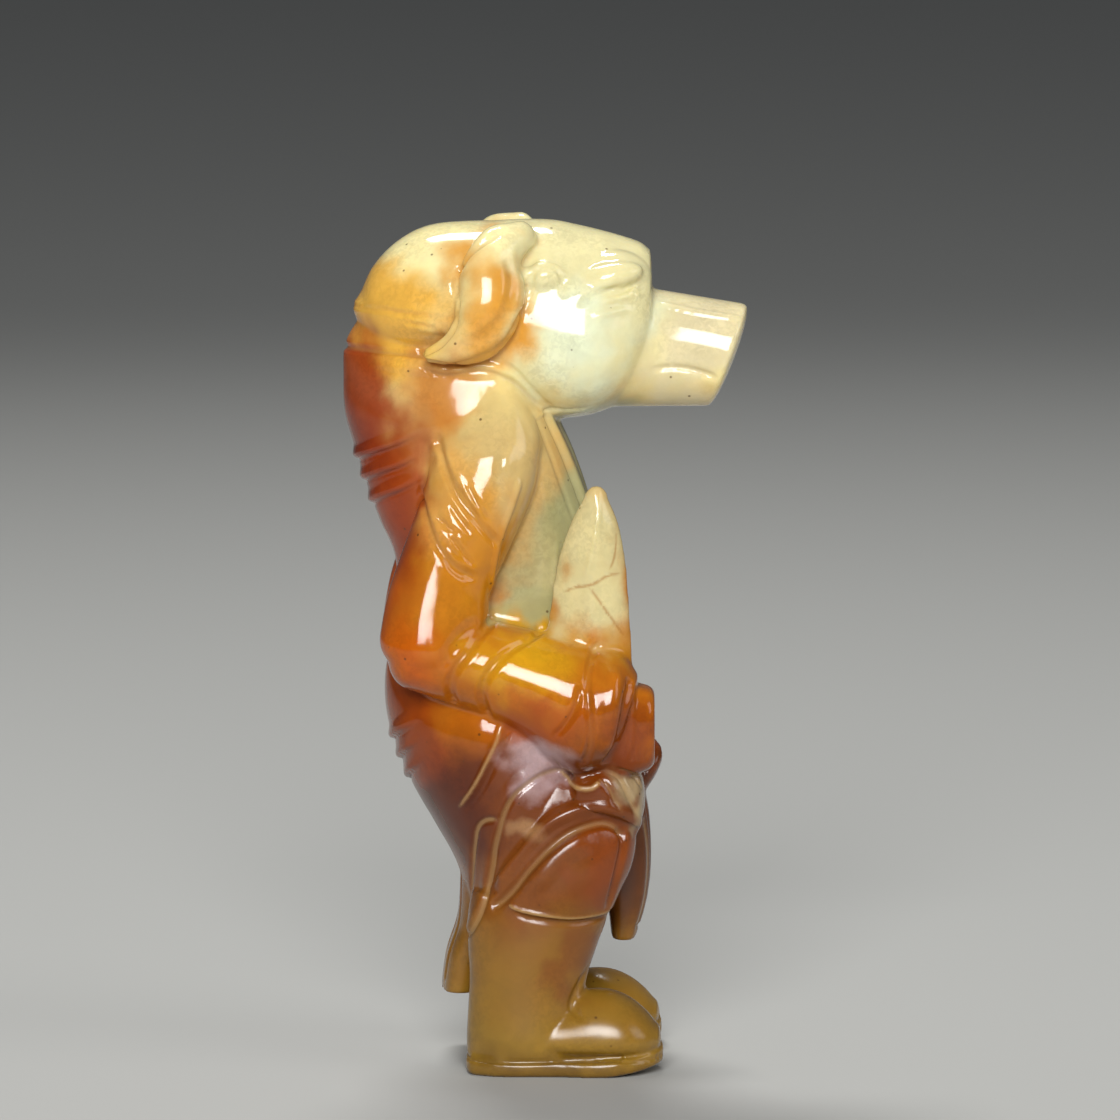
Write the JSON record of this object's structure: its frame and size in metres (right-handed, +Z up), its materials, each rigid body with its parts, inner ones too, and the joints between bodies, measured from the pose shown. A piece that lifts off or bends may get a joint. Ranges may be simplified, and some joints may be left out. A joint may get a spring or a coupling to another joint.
{
  "type": "jade boar-headed figurine",
  "caption": "Carved jade figurine of a standing boar-headed figure in a robe and boots, holding a leaf-shaped blade upright; it stands on its own boots as an ornament.",
  "frame": {"origin": "on the ground, below the middle of the figure's bounding box", "axes": "+Z up, +X the way the figure faces, +Y towards its left hand"},
  "size_m": [0.0281, 0.0212, 0.0589],
  "materials": {
    "jade": "high polish"
  },
  "bodies": {
    "root": {"statue": "jade"}
  },
  "joints": []
}
